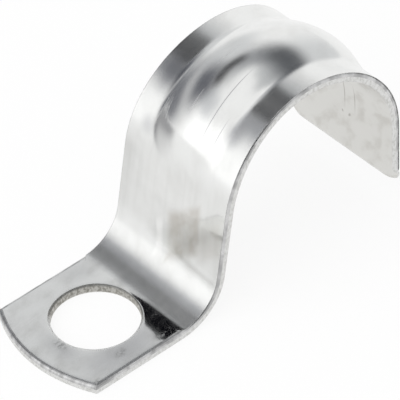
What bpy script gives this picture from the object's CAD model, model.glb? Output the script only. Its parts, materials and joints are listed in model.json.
import json
import math

import bmesh
import bpy
from mathutils import Matrix, Vector


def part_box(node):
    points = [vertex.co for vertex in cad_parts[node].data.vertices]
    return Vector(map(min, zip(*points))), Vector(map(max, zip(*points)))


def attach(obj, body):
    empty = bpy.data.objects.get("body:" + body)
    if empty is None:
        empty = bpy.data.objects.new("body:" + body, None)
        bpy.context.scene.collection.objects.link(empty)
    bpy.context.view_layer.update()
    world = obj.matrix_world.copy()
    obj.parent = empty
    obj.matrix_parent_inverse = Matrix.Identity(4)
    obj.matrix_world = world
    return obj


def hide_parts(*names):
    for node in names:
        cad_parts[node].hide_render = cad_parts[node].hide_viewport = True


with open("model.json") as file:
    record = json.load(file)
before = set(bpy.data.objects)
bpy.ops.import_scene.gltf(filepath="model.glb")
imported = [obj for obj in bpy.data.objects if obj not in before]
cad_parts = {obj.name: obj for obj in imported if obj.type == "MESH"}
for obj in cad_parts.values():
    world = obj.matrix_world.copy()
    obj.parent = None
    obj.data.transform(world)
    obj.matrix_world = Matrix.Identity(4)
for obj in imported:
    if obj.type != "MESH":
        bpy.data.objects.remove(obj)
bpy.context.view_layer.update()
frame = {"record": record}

# ---- The strap's sheet ----
# One strip of thin steel. It is blanked flat with a screw hole near its rounded
# end, then folded: a bend up from the tab, a straight leg, an arch over the
# conduit and a short free leg that stops above the wall.
MM = 0.001
strap_low, strap_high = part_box("strap")
mounts = {mount["name"]: mount for mount in frame["record"]["mounts"]}
hole_radius = mounts["screw_hole"]["dims"]["r_mm"] * MM
sheet_thickness = mounts["screw_hole"]["dims"]["length_mm"] * MM
seat_radius = mounts["conduit_seat"]["dims"]["r_mm"] * MM
seat_centre = Vector(mounts["conduit_seat"]["pos_m"])
saddle_radius = seat_radius + sheet_thickness
half_width = strap_high.y
tab_corner = -5.3 * MM
hole_to_bend = 0.3 * MM
bend_start = hole_radius + hole_to_bend
bend_radius = 4.0 * MM
bend_centre = Vector((bend_start, 0, sheet_thickness + bend_radius))
free_end_height = 2.0 * MM
free_corner_radius = 1.2 * MM

# the leg runs straight from the bend to the saddle and touches both
span = seat_centre - bend_centre
leg_slope = math.atan2(span.z, span.x) + math.asin((bend_radius + saddle_radius) / span.length)
leg_length = math.sqrt(span.length_squared - (bend_radius + saddle_radius) ** 2)
along_leg = Vector((math.cos(leg_slope), 0, math.sin(leg_slope)))

# how many faces the sheet has across, along each of its stretches and out from the hole
columns = 40
tab_rows = 22
bend_rows = 14
leg_rows = 10
saddle_rows = 60
free_leg_rows = 10
hole_rings = 5
tolerance = 0.0001 * MM


def only(kinds, items):
    """The items of a mesh that are of one kind or of several."""
    return [item for item in items if isinstance(item, kinds)]


def drawn_on(row):
    """The next row of the sheet's vertices and edges, drawn on from the last one."""
    edges = only(bmesh.types.BMEdge, row)
    grown = bmesh.ops.extrude_edge_only(bm, edges=edges)["geom"]
    return only((bmesh.types.BMVert, bmesh.types.BMEdge), grown)


bm = bmesh.new()

# the tab's outline, its columns closer together towards the long edges
outline = bmesh.ops.create_grid(bm, x_segments=tab_rows, y_segments=columns, size=0.5)["verts"]
bmesh.ops.delete(bm, geom=[vert for vert in outline if not vert.is_boundary], context="VERTS")
for vert in bm.verts:
    across = math.sin(math.pi * vert.co.y)
    end_bulge = (tab_corner - strap_low.x) * (1 - across ** 2)
    start = tab_corner - end_bulge
    along = vert.co.x + 0.5
    vert.co = (start + (bend_start - start) * along, half_width * across, sheet_thickness)

# the screw hole, joined to the outline
hole = bmesh.ops.create_circle(bm, segments=2 * (tab_rows + columns), radius=hole_radius)["verts"]
bmesh.ops.translate(bm, verts=hole, vec=(0, 0, sheet_thickness))
bmesh.ops.bridge_loops(bm, edges=bm.edges[:])
spokes = [edge for edge in bm.edges if not edge.is_boundary]
bmesh.ops.subdivide_edges(bm, edges=spokes, cuts=hole_rings - 1)

# the bend, the leg, the saddle and the free leg, each drawn on from the last row
row = [vert for vert in bm.verts if abs(vert.co.x - bend_start) < tolerance]
row += [edge for edge in bm.edges if all(vert in row for vert in edge.verts)]
row = bmesh.ops.spin(
    bm, geom=row, cent=bend_centre, axis=(0, -1, 0), angle=leg_slope, steps=bend_rows,
)["geom_last"]
leg_step = along_leg * leg_length / leg_rows
for _ in range(leg_rows):
    row = drawn_on(row)
    bmesh.ops.translate(bm, verts=only(bmesh.types.BMVert, row), vec=leg_step)
row = bmesh.ops.spin(
    bm, geom=row, cent=seat_centre, axis=(0, 1, 0), angle=leg_slope + math.pi / 2, steps=saddle_rows,
)["geom_last"]
for step in range(free_leg_rows):
    row = drawn_on(row)
    for vert in only(bmesh.types.BMVert, row):
        past_corner = max(0, abs(vert.co.y) - (half_width - free_corner_radius))
        corner_rise = free_corner_radius - math.sqrt(max(0, free_corner_radius ** 2 - past_corner ** 2))
        leg_end = free_end_height + corner_rise
        vert.co.z = seat_centre.z - (seat_centre.z - leg_end) * (step + 1) / free_leg_rows


# ---- The bead ----
# A rib pressed outwards along the saddle so that the thin strip doesn't open
# when the screw is tightened. It sinks into the saddle at a nose above each
# leg, and the steel that it takes draws the strip's long edges in.
bead_width = 7.8 * MM
bead_height = 0.9 * MM
bead_crease_radius = 0.9 * MM
bead_nose = math.radians(27.0)
bead_nose_width_share = 0.4
bead_end = leg_slope - math.radians(1.8)
bead_end_rise = saddle_radius * math.cos(bead_end)
edge_draw_in = 0.3 * MM


def bead_rise(y, angle):
    """How far the bead lifts the sheet, at a distance from its middle line and an angle from the crown."""
    fade = min(1, max(0, (abs(angle) - (bead_end - bead_nose)) / bead_nose))
    height = bead_height * math.cos(math.pi / 2 * fade) ** 2
    narrowing = math.sqrt(1 - (1 - bead_nose_width_share ** 2) * fade ** 2)
    half_base = bead_width / 2 * narrowing
    crease = bead_crease_radius * math.sin(2 * math.atan(2 * bead_height / bead_width)) * narrowing
    turn = 2 * math.atan(height / half_base)
    in_from_base = half_base - abs(y)
    if height < tolerance or in_from_base <= 0:
        return 0
    if in_from_base < crease:
        radius = crease / math.sin(turn)
        return radius - math.sqrt(radius ** 2 - in_from_base ** 2)
    radius = (half_base - crease) / math.sin(turn)
    return height - radius + math.sqrt(radius ** 2 - y ** 2)


for vert in bm.verts:
    out = Vector((vert.co.x - seat_centre.x, 0, vert.co.z - seat_centre.z))
    angle = math.atan2(out.x, out.z)
    if abs(angle) < bead_end:
        taken = (out.z - bead_end_rise) / (saddle_radius - bead_end_rise)
        vert.co += out.normalized() * bead_rise(vert.co.y, angle)
        vert.co.y *= 1 - edge_draw_in / half_width * taken ** 2

# ---- Thickness and edges ----
# The sheet is given its thickness under the outer face. The blanking tool rolls
# the outer edges over and leaves a sheared face with a slight burr below it; the
# piercing tool leaves a sharper rim and a torn wall in the hole.
edge_rollover = 0.3 * MM
hole_rim_bevel = 0.1 * MM
burr_break = 0.05 * MM

# the finishes that faces can have, in the order in which the metals are added further on
OUTER_FACE, SHEARED_EDGE, HOLE_WALL, INNER_FACE, ROLLED_EDGE = range(5)


def in_hole(item):
    """Whether a face or an edge lies on the hole's wall."""
    return all(vert.co.xy.length < hole_radius + tolerance for vert in item.verts)


def rim(side_faces, of_hole):
    """The edges of one side of the sheet, round the hole or round the strip."""
    return [
        edge for edge in bm.edges
        if sum(face in side_faces for face in edge.link_faces) == 1 and in_hole(edge) == of_hole
    ]


outer_faces = set(bm.faces)
thickened = bmesh.ops.solidify(bm, geom=bm.faces[:], thickness=sheet_thickness)["geom"]
inner_faces = set(only(bmesh.types.BMFace, thickened))
for face in bm.faces:
    face.smooth = True
    if face in outer_faces:
        face.material_index = OUTER_FACE
    elif face in inner_faces:
        face.material_index = INNER_FACE
    elif in_hole(face):
        face.material_index = HOLE_WALL
    else:
        face.material_index = SHEARED_EDGE

for edges, offset, segments, material in (
    (rim(outer_faces, of_hole=False), edge_rollover, 4, ROLLED_EDGE),
    (rim(outer_faces, of_hole=True), hole_rim_bevel, 3, HOLE_WALL),
    (rim(inner_faces, of_hole=False), burr_break, 2, SHEARED_EDGE),
    (rim(inner_faces, of_hole=True), burr_break, 2, HOLE_WALL),
):
    rounded = bmesh.ops.bevel(
        bm, geom=edges, offset=offset, offset_type="OFFSET", segments=segments,
        profile=0.5, affect="EDGES", material=-1,
    )
    for face in rounded["faces"]:
        face.material_index = material

# the flat blank's own map, in millimetres from the hole, for marks made along the strip
leg_start = bend_start + leg_slope * bend_radius
leg_foot = bend_centre + Vector((along_leg.z, 0, -along_leg.x)) * bend_radius
saddle_start = leg_start + leg_length
saddle_end = saddle_start + (leg_slope + math.pi / 2) * saddle_radius


def along_blank(point):
    """How far along the flat blank a point of the folded strap lies, in millimetres."""
    if point.x < bend_start:
        return point.x / MM
    from_seat = point - seat_centre
    if from_seat.x > 0 and from_seat.z < 0:
        return (saddle_end - from_seat.z) / MM
    seat_angle = math.atan2(from_seat.x, from_seat.z)
    if seat_angle > -leg_slope:
        return (saddle_start + (seat_angle + leg_slope) * saddle_radius) / MM
    from_bend = point - bend_centre
    bend_angle = math.atan2(from_bend.x, -from_bend.z)
    if bend_angle < leg_slope:
        return (bend_start + bend_angle * bend_radius) / MM
    return (leg_start + (point - leg_foot).dot(along_leg)) / MM


blank = bm.loops.layers.uv.new("blank")
for face in bm.faces:
    for loop in face.loops:
        loop[blank].uv = (along_blank(loop.vert.co), loop.vert.co.y / MM)

mesh = bpy.data.meshes.new("zinc_strap")
bm.to_mesh(mesh)
bm.free()
strap = bpy.data.objects.new("zinc_strap", mesh)
bpy.context.collection.objects.link(strap)
smooth = strap.modifiers.new("smooth", "SUBSURF")
smooth.levels = 1
smooth.render_levels = 1
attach(strap, "root")
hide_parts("strap")


# ---- Finish ----
# Bright zinc plate on the outer face, with the marks of pressing and handling,
# a duller face inside, and torn steel in the hole and along the edges. Marks and
# grains have their sizes in millimetres.
def add_node(tree, kind, inputs=None, **settings):
    """A shader node with its settings, each input set to a value or joined to a socket."""
    node = tree.nodes.new(kind)
    for key, value in settings.items():
        setattr(node, key, value)
    for key, value in (inputs or {}).items():
        if isinstance(value, bpy.types.NodeSocket):
            tree.links.new(value, node.inputs[key])
        else:
            node.inputs[key].default_value = value
    return node


def centred(tree, place, centre, size, turn):
    """A pattern's own coordinates, with its centre, its size and its turn in degrees."""
    mapping = add_node(tree, "ShaderNodeMapping", {
        "Vector": place,
        "Location": centre,
        "Rotation": (0, 0, math.radians(turn)),
        "Scale": size,
    }, vector_type="TEXTURE")
    return mapping.outputs["Vector"]


def grain(tree, place, size, turn=0.0, detail=3.0, offset=0.0):
    """Noise whose grains have a size along, across and through the strip."""
    noise = add_node(tree, "ShaderNodeTexNoise", {
        "Vector": centred(tree, place, (offset, offset, 0), size, turn),
        "Scale": 1.0,
        "Detail": detail,
    })
    return noise.outputs["Fac"]


def between(tree, value, low, high, to_low=0.0, to_high=1.0):
    """A value's smooth step from one level to another."""
    step = add_node(tree, "ShaderNodeMapRange", {
        "Value": value, "From Min": low, "From Max": high, "To Min": to_low, "To Max": to_high,
    }, interpolation_type="SMOOTHSTEP")
    return step.outputs["Result"]


def combined(tree, operation, first, second):
    """Two values joined by one operation of arithmetic."""
    node = add_node(tree, "ShaderNodeMath", {0: first, 1: second}, operation=operation)
    return node.outputs["Value"]


def times(tree, first, second):
    """A mask made weaker by a share or by another mask."""
    return combined(tree, "MULTIPLY", first, second)


def strongest(tree, masks):
    """The highest of several masks at each place."""
    highest = masks[0]
    for mask in masks[1:]:
        highest = combined(tree, "MAXIMUM", highest, mask)
    return highest


def tinted(tree, under, over, mask):
    """One colour laid over another where a mask is 1."""
    mix = add_node(tree, "ShaderNodeMix", {"Factor": mask}, data_type="RGBA")
    for socket, colour in ((mix.inputs[6], under), (mix.inputs[7], over)):
        if isinstance(colour, bpy.types.NodeSocket):
            tree.links.new(colour, socket)
        else:
            socket.default_value = (*colour, 1)
    return mix.outputs[2]


def mark(tree, place, centre, half_size, turn=0.0, soft=0.5, square=False):
    """Mask of one oval or square mark, its edge soft over a share of its half sizes."""
    inside = centred(tree, place, (*centre, 0), (*half_size, 1), turn)
    if square:
        sides = add_node(tree, "ShaderNodeVectorMath", {0: inside}, operation="ABSOLUTE")
        sides = add_node(tree, "ShaderNodeSeparateXYZ", {"Vector": sides.outputs["Vector"]})
        away = combined(tree, "MAXIMUM", sides.outputs["X"], sides.outputs["Y"])
    else:
        away = add_node(tree, "ShaderNodeVectorMath", {0: inside}, operation="LENGTH").outputs["Value"]
    return between(tree, away, 1.0, 1.0 - soft)


def marks(tree, place, rows, soft=0.5):
    """Mask of several oval marks, each with its centre, its half sizes and its turn."""
    masks = []
    for centre, half_size, turn in rows:
        masks.append(mark(tree, place, centre, half_size, turn, soft))
    return strongest(tree, masks)


def stretch(tree, along, rise, fall):
    """Mask of a stretch of the strip, which rises between two places and falls between two others."""
    return times(tree, between(tree, along, *rise), between(tree, along, *fall))


def on_saddle(angle, y):
    """Place on the blank of a point of the saddle, at an angle in degrees from the crown."""
    angle = math.radians(angle)
    point = seat_centre + Vector((math.sin(angle), 0, math.cos(angle))) * saddle_radius
    return (along_blank(point), y)


def new_metal(name):
    """The node tree of a new metal, the next in the strap's list."""
    material = bpy.data.materials.new(name)
    material.use_nodes = True
    material.node_tree.nodes["Principled BSDF"].inputs["Metallic"].default_value = 1.0
    mesh.materials.append(material)
    return material.node_tree


def place_on_blank(tree):
    """Place on the flat blank."""
    return add_node(tree, "ShaderNodeUVMap", uv_map="blank").outputs["UV"]


def place_in_steel(tree):
    """Place in the folded steel, for faces that cut through the sheet."""
    place = add_node(tree, "ShaderNodeTexCoord").outputs["Object"]
    scaled = add_node(tree, "ShaderNodeVectorMath", {0: place, "Scale": 1 / MM}, operation="SCALE")
    return scaled.outputs["Vector"]


def set_finish(tree, roughness, colour, bumps):
    """Gives a metal its roughness, its colour and its bumps, each a height and its depth."""
    shader = tree.nodes["Principled BSDF"]
    tree.links.new(roughness, shader.inputs["Roughness"])
    tree.links.new(colour, shader.inputs["Base Color"])
    below = {}
    for height, depth in bumps:
        bump = add_node(tree, "ShaderNodeBump", {
            "Height": height, "Strength": 1.0, "Distance": depth * MM, **below,
        })
        below = {"Normal": bump.outputs["Normal"]}
    tree.links.new(bump.outputs["Normal"], shader.inputs["Normal"])


# bright zinc plate: a mirror on the tab and at the leg's top, rougher where the
# tools formed the bend, the leg's foot and the saddle
tree = new_metal("bright_zinc")
place = place_on_blank(tree)
parts = add_node(tree, "ShaderNodeSeparateXYZ", {"Vector": place}).outputs
bend = bend_start / MM
foot = leg_start / MM
top = saddle_start / MM
folded = between(tree, parts["X"], bend - 0.5, bend + 1.0)
in_bend = times(tree, folded, between(tree, parts["X"], foot - 0.4, foot - 1.4))
on_leg = stretch(tree, parts["X"], (foot - 0.6, foot + 1.2), (top + 3.0, top))
low_leg = stretch(tree, parts["X"], (foot - 1.4, foot - 0.4), (foot + 4.4, foot + 3.4))
high_leg = stretch(tree, parts["X"], (foot + 3.4, foot + 4.6), (top + 1.5, top - 0.2))

# the plate's own unevenness: smudges, streaks along the strip and shallow dents
smudge = between(tree, grain(tree, place, (2.6, 1.7, 1), turn=25, detail=4), 0.4, 0.8)
smudge = times(tree, smudge, between(tree, folded, 0, 1, 1.0, 0.4))
streaks = grain(tree, place, (9.0, 0.16, 1), detail=4)
dents = grain(tree, place, (5.0, 3.0, 1), detail=1)
fine = grain(tree, place, (0.35, 0.25, 1), detail=2)
drawn = between(tree, grain(tree, place, (14.0, 1.0, 1), detail=3), 0.4, 0.75)
drawn = times(tree, drawn, on_leg)

# fine scratches all over, light rubs and dark scores on the saddle
scratches = []
for turn, threshold, offset in ((8, 0.7, 3), (-22, 0.73, 11), (63, 0.74, 23)):
    lines = grain(tree, place, (3.2, 0.045, 1), turn=turn, detail=1, offset=offset)
    scratches.append(between(tree, lines, threshold, threshold + 0.04))
scratches = strongest(tree, scratches)
rubs = marks(tree, place, (
    (on_saddle(-48.5, 2.7), (1.2, 0.05), 12),
    (on_saddle(-38, 0.4), (1.4, 0.03), 2),
    (on_saddle(-47, 3.4), (1.6, 0.03), -1),
    (on_saddle(-12, 1.2), (1.8, 0.03), 1),
))
scores = marks(tree, place, (
    (on_saddle(-31.5, -1.78), (4.2, 0.055), 2.4),
    (on_saddle(-44, -3.0), (1.5, 0.03), 1),
    (on_saddle(-20, 3.9), (1.9, 0.03), -1),
))

# a brownish stain on the leg, slanted across the strip, between a fainter one and
# a line that was wiped clean
slant = 0.6
slanted = combined(tree, "ADD", parts["X"], times(tree, parts["Y"], slant))
slanted = add_node(tree, "ShaderNodeCombineXYZ", {"X": slanted, "Y": parts["Y"]}).outputs["Vector"]
stain = mark(tree, slanted, (foot + 0.9, -1.8), (3.0, 2.2), turn=8, soft=0.4, square=True)
faint = mark(tree, slanted, (foot + 0.1, -4.9), (2.4, 1.7), turn=8, soft=0.6, square=True)
stain = strongest(tree, [stain, times(tree, faint, 0.5)])
patchy = between(tree, grain(tree, place, (1.6, 1.2, 1), detail=4, offset=7), 0.35, 0.65, 0.55, 1.0)
stain = times(tree, stain, patchy)
wiped = mark(tree, slanted, (foot + 0.7, 0.95), (2.4, 0.5), turn=8, soft=0.7, square=True)

# grime beside the hole and at the tab's corner
grime = marks(tree, place, (
    ((-4.3, -0.6), (0.6, 1.1), 10),
    ((-1.3, -4.7), (1.0, 0.6), 20),
    ((-4.8, -5.9), (0.7, 0.4), 0),
    ((2.6, -5.4), (0.9, 0.4), -10),
), soft=0.9)
grime = times(tree, grime, between(tree, fine, 0.35, 0.6))

# plate that handling has dulled, on the saddle's flanges and round the hole
dulled = [mark(tree, place, on_saddle(-34, 4.7), (2.7, 1.7), soft=0.9)]
for centre, half_size, strength in (
    (on_saddle(-42, -4.2), (1.6, 1.3), 0.9),
    (on_saddle(-62, 4.3), (1.3, 1.3), 0.6),
    ((-0.8, -4.6), (6.0, 3.2), 0.7),
    ((-4.4, -1.0), (1.8, 3.4), 0.5),
    ((2.6, 5.2), (3.0, 2.0), 0.3),
):
    dulled.append(times(tree, mark(tree, place, centre, half_size, soft=1.0), strength))
dulled = strongest(tree, dulled)

tab_roughness = 0.055
folded_roughness = 0.185
roughness = between(tree, folded, 0, 1, tab_roughness, folded_roughness)
for zone, change in ((in_bend, 0.07), (high_leg, -0.11), (low_leg, 0.07)):
    roughness = combined(tree, "ADD", roughness, times(tree, zone, change))
roughness = combined(tree, "ADD", roughness, between(tree, smudge, 0, 1, 0.0, 0.035))
roughness = combined(tree, "ADD", roughness, between(tree, streaks, 0.35, 0.7, -0.005, 0.012))
for damage, level in ((scratches, 0.25), (rubs, 0.55), (scores, 0.4), (grime, 0.3)):
    roughness = strongest(tree, [roughness, times(tree, damage, level)])
colour = tinted(tree, (0.84, 0.845, 0.835), (0.68, 0.68, 0.665), smudge)
colour = tinted(tree, colour, (0.9, 0.9, 0.89), between(tree, streaks, 0.5, 0.75, 0, 0.2))
for layer, strength, shade in (
    (dulled, 0.85, (0.42, 0.425, 0.44)),
    (on_leg, 0.3, (0.62, 0.62, 0.605)),
    (drawn, 0.5, (0.68, 0.68, 0.665)),
    (stain, 0.8, (0.56, 0.535, 0.495)),
    (wiped, 0.7, (0.97, 0.97, 0.96)),
    (grime, 0.6, (0.36, 0.36, 0.35)),
    (scores, 0.7, (0.4, 0.4, 0.41)),
    (scratches, 0.35, (0.93, 0.93, 0.92)),
):
    colour = tinted(tree, colour, shade, times(tree, layer, strength))
set_finish(tree, roughness, colour, ((dents, 0.025), (streaks, 0.0005), (fine, 0.0006)))

# bare steel that the blanking tool sheared
tree = new_metal("sheared_edge")
torn = grain(tree, place_in_steel(tree), (0.22, 0.22, 0.3), detail=3)
roughness = between(tree, torn, 0.3, 0.7, 0.38, 0.6)
colour = tinted(tree, (0.75, 0.75, 0.74), (0.66, 0.66, 0.64), between(tree, torn, 0.4, 0.68))
set_finish(tree, roughness, colour, ((torn, 0.0008),))

# the pierced wall of the hole, torn and darker: its upper rim is dark on the leg's
# side and rubbed bright on the other, and its lowest part is clean
tree = new_metal("pierced_wall")
place = place_in_steel(tree)
parts = add_node(tree, "ShaderNodeSeparateXYZ", {"Vector": place}).outputs
torn = grain(tree, place, (0.2, 0.2, 0.3), detail=6)
roughness = between(tree, torn, 0.3, 0.7, 0.45, 0.65)
side = combined(tree, "ADD", parts["X"], parts["Y"])
dark_rim = times(tree, between(tree, parts["Z"], 0.62, 0.8), between(tree, side, -1.0, 3.0, 0, 0.8))
worn_rim = times(tree, between(tree, parts["Z"], 0.5, 0.7), between(tree, side, 1.0, -2.0))
colour = tinted(tree, (0.52, 0.51, 0.48), (0.34, 0.33, 0.3), between(tree, torn, 0.4, 0.62))
colour = tinted(tree, colour, (0.26, 0.26, 0.25), dark_rim)
colour = tinted(tree, colour, (0.92, 0.92, 0.91), worn_rim)
colour = tinted(tree, colour, (0.8, 0.79, 0.77), between(tree, parts["Z"], 0.14, 0.04))
set_finish(tree, roughness, colour, ((torn, 0.05),))

# the inner face, which no tool rubbed: duller, with the marks that the former left
tree = new_metal("dull_zinc")
place = place_on_blank(tree)
smudge = between(tree, grain(tree, place, (2.0, 1.4, 1), turn=40, detail=5), 0.45, 0.7)
dents = grain(tree, place, (2.5, 1.8, 1), detail=2)
grime = marks(tree, place, (
    (on_saddle(85, -0.5), (2.6, 0.09), 0),
    (on_saddle(87, -1.75), (2.3, 0.07), 0),
    (on_saddle(100, -1.06), (0.3, 0.18), 30),
    (on_saddle(100, -0.2), (0.22, 0.15), -20),
    (on_saddle(92, 2.3), (0.25, 0.12), 0),
), soft=0.8)
roughness = between(tree, smudge, 0, 1, 0.34, 0.44)
colour = tinted(tree, (0.72, 0.715, 0.69), (0.66, 0.65, 0.62), smudge)
colour = tinted(tree, colour, (0.3, 0.28, 0.25), times(tree, grime, 0.55))
set_finish(tree, roughness, colour, ((dents, 0.02),))

# the rolled edge, where handling has dulled and darkened the plate
tree = new_metal("rolled_edge")
worn = grain(tree, place_on_blank(tree), (1.1, 0.5, 1), detail=5)
roughness = between(tree, worn, 0.3, 0.7, 0.26, 0.4)
colour = tinted(tree, (0.64, 0.64, 0.64), (0.42, 0.42, 0.42), between(tree, worn, 0.35, 0.65))
set_finish(tree, roughness, colour, ((worn, 0.006),))

# ---- Table ----
# A sheet of white paper that the strap lies on, a hair below the tab. It shows
# white to the eye and in the metal, and still takes the strap's shadow.
paper_half_size = 3.0
paper_drop = 0.02 * MM
paper_glow = 0.87


def seen_rays(tree):
    """1 for what is seen directly, or mirrored or let through by a shiny or clear thing."""
    rays = add_node(tree, "ShaderNodeLightPath").outputs
    return strongest(tree, [rays["Is Camera Ray"], rays["Is Glossy Ray"], rays["Is Transmission Ray"]])


floor_mesh = bpy.data.meshes.new("table")
bm = bmesh.new()
bmesh.ops.create_grid(bm, x_segments=1, y_segments=1, size=paper_half_size)
bm.to_mesh(floor_mesh)
bm.free()
floor = bpy.data.objects.new("table", floor_mesh)
bpy.context.collection.objects.link(floor)
floor.location.z = -paper_drop
paper = bpy.data.materials.new("white_paper")
paper.use_nodes = True
tree = paper.node_tree
shader = tree.nodes["Principled BSDF"]
shader.inputs["Base Color"].default_value = (0.97, 0.97, 0.97, 1)
shader.inputs["Roughness"].default_value = 0.9
white = add_node(tree, "ShaderNodeEmission", {"Color": (1, 1, 1, 1), "Strength": 1})
seen = add_node(tree, "ShaderNodeMixShader", {
    "Fac": times(tree, seen_rays(tree), paper_glow),
    1: shader.outputs["BSDF"],
    2: white.outputs["Emission"],
})
tree.links.new(seen.outputs["Shader"], tree.nodes["Material Output"].inputs["Surface"])
floor_mesh.materials.append(paper)

# ---- Light ----
# A white room and one large soft lamp to the left. Grey and dark cloths hang all
# round, seen only in the bright metal, which needs something to mirror. Where a
# thing stands is given by a compass angle and a height, in degrees.
room_light = 0.7
lamp_width = 0.53
lamp_height = 0.95
lamp_distance = 0.5
lamp_glow = 1.35
cloth_squares = 12
middle = (strap_low + strap_high) / 2

world = bpy.data.worlds.new("studio")
world.use_nodes = True
bpy.context.scene.world = world
tree = world.node_tree
background = tree.nodes["Background"]
background.inputs["Color"].default_value = (1, 1, 1, 1)
level = add_node(tree, "ShaderNodeMapRange", {
    "Value": seen_rays(tree), "To Min": room_light, "To Max": 1.0,
})
tree.links.new(level.outputs["Result"], background.inputs["Strength"])


def towards(compass, height):
    """Direction at a compass angle from +Y towards +X and an angle above the table."""
    compass = math.radians(compass)
    height = math.radians(height)
    return Vector((
        math.sin(compass) * math.cos(height),
        math.cos(compass) * math.cos(height),
        math.sin(height),
    ))


lamp_data = bpy.data.lights.new("left_softbox", "AREA")
lamp_data.shape = "RECTANGLE"
lamp_data.size = lamp_width
lamp_data.size_y = lamp_height
lamp_data.energy = lamp_glow * math.pi * lamp_width * lamp_height
lamp = bpy.data.objects.new("left_softbox", lamp_data)
lamp_direction = towards(-91, 38)
lamp_turn = lamp_direction.to_track_quat("Z", "Y").to_matrix().to_4x4()
lamp.matrix_world = Matrix.Translation(middle + lamp_direction * lamp_distance) @ lamp_turn
lamp.visible_glossy = False
bpy.context.collection.objects.link(lamp)


def on_dome(radius, compass_range, height_range):
    """Places of a cloth on a part of a sphere round the strap."""
    def place(across, up):
        compass = compass_range[0] + (compass_range[1] - compass_range[0]) * across
        height = height_range[0] + (height_range[1] - height_range[0]) * up
        return middle + towards(compass, height) * radius
    return place


def on_table(compass_range, distance_range):
    """Places of a cloth that lies on the table beside the strap."""
    def place(across, up):
        compass = compass_range[0] + (compass_range[1] - compass_range[0]) * across
        distance = distance_range[0] + (distance_range[1] - distance_range[0]) * up
        foot = Vector((middle.x, middle.y, 0.1 * MM))
        return foot + towards(compass, 0) * distance
    return place


def hang_cloth(name, place_of, shade, fade):
    """A cloth that is seen only in the metal, with edges that fade over a share of its size."""
    cloth_mesh = bpy.data.meshes.new(name)
    cloth = bmesh.new()
    cloth.loops.layers.uv.new("cloth")
    bmesh.ops.create_grid(
        cloth, x_segments=cloth_squares, y_segments=cloth_squares, size=0.5, calc_uvs=True,
    )
    for vert in cloth.verts:
        vert.co = place_of(vert.co.x + 0.5, vert.co.y + 0.5)
    cloth.to_mesh(cloth_mesh)
    cloth.free()
    cloth_object = bpy.data.objects.new(name, cloth_mesh)
    cloth_object.visible_camera = False
    cloth_object.visible_diffuse = False
    cloth_object.visible_shadow = False
    bpy.context.collection.objects.link(cloth_object)
    material = bpy.data.materials.new(name)
    material.use_nodes = True
    tree = material.node_tree
    place = add_node(tree, "ShaderNodeTexCoord").outputs["UV"]
    parts = add_node(tree, "ShaderNodeSeparateXYZ", {"Vector": place}).outputs
    solid = []
    for axis in ("X", "Y"):
        from_edge = add_node(
            tree, "ShaderNodeMath", {0: parts[axis], 1: 0.5, 2: 0.5}, operation="PINGPONG",
        )
        solid.append(between(tree, from_edge.outputs["Value"], 0, fade))
    clear = add_node(tree, "ShaderNodeBsdfTransparent")
    glow = add_node(tree, "ShaderNodeEmission", {"Color": (*shade, 1), "Strength": 1})
    mix = add_node(tree, "ShaderNodeMixShader", {
        "Fac": times(tree, *solid),
        1: clear.outputs["BSDF"],
        2: glow.outputs["Emission"],
    })
    tree.links.new(mix.outputs["Shader"], tree.nodes["Material Output"].inputs["Surface"])
    cloth_mesh.materials.append(material)


# the cloths on a dome round the strap, from the nearest to the farthest, which the
# others partly hide; the last is the lamp's bright face
for name, distance, compass_range, height_range, shade, fade in (
    ("dark_strip", 0.5, (-36, 36), (49, 60.5), (0.004, 0.004, 0.006), 0.22),
    ("rear_screen", 0.52, (-54, 18), (16, 60), (0.12, 0.125, 0.145), 0.4),
    ("low_screen", 0.54, (-48, 22), (-20, 30), (0.18, 0.185, 0.205), 0.4),
    ("right_screen", 0.56, (26, 150), (28, 74), (0.1, 0.105, 0.115), 0.4),
    ("near_screen", 0.57, (150, 236), (-8, 44), (0.08, 0.085, 0.09), 0.25),
    ("arch_screen", 0.58, (-65, 200), (40, 78), (0.38, 0.39, 0.405), 0.35),
    ("left_screen", 0.6, (-80, -20), (34, 64), (0.66, 0.67, 0.69), 0.35),
    ("grey_screen", 0.62, (-10, 46), (6, 54), (0.7, 0.71, 0.72), 0.3),
    ("right_grey_screen", 0.64, (50, 150), (-20, 50), (0.72, 0.73, 0.74), 0.3),
    ("ceiling_screen", 0.66, (30, 220), (60, 88), (0.55, 0.56, 0.57), 0.3),
    ("softbox_face", 0.7, (-160, -42), (-30, 50), (1.3, 1.3, 1.3), 0.17),
):
    hang_cloth(name, on_dome(distance, compass_range, height_range), shade, fade)
hang_cloth("rear_cloth", on_table((-48, -4), (0.006, 0.3)), (0.35, 0.35, 0.36), fade=0.2)

# ---- Camera ----
# A long lens well away from the strap, so that it shows with almost no
# perspective, looking down over the tab's corner and tipped a little.
aim = Vector((11.37, -0.55, 7.14)) * MM
camera_distance = 0.3327
azimuth = math.radians(-39.66)
elevation = math.radians(42.27)
roll = math.radians(-2.7)
camera_data = bpy.data.cameras.new("camera")
camera_data.lens = 360
camera_data.sensor_width = 36
camera_data.clip_start = 0.01
camera_data.clip_end = 10
camera = bpy.data.objects.new("camera", camera_data)
bpy.context.collection.objects.link(camera)
bpy.context.scene.camera = camera
back = Vector((
    math.sin(azimuth) * math.cos(elevation),
    -math.cos(azimuth) * math.cos(elevation),
    math.sin(elevation),
))
level_right = Vector((math.cos(azimuth), math.sin(azimuth), 0))
level_up = back.cross(level_right)
right = level_right * math.cos(roll) + level_up * math.sin(roll)
up = level_up * math.cos(roll) - level_right * math.sin(roll)
place = aim + back * camera_distance
camera.matrix_world = Matrix((
    (right.x, up.x, back.x, place.x),
    (right.y, up.y, back.y, place.y),
    (right.z, up.z, back.z, place.z),
    (0, 0, 0, 1),
))

bpy.context.scene.view_settings.view_transform = "Standard"
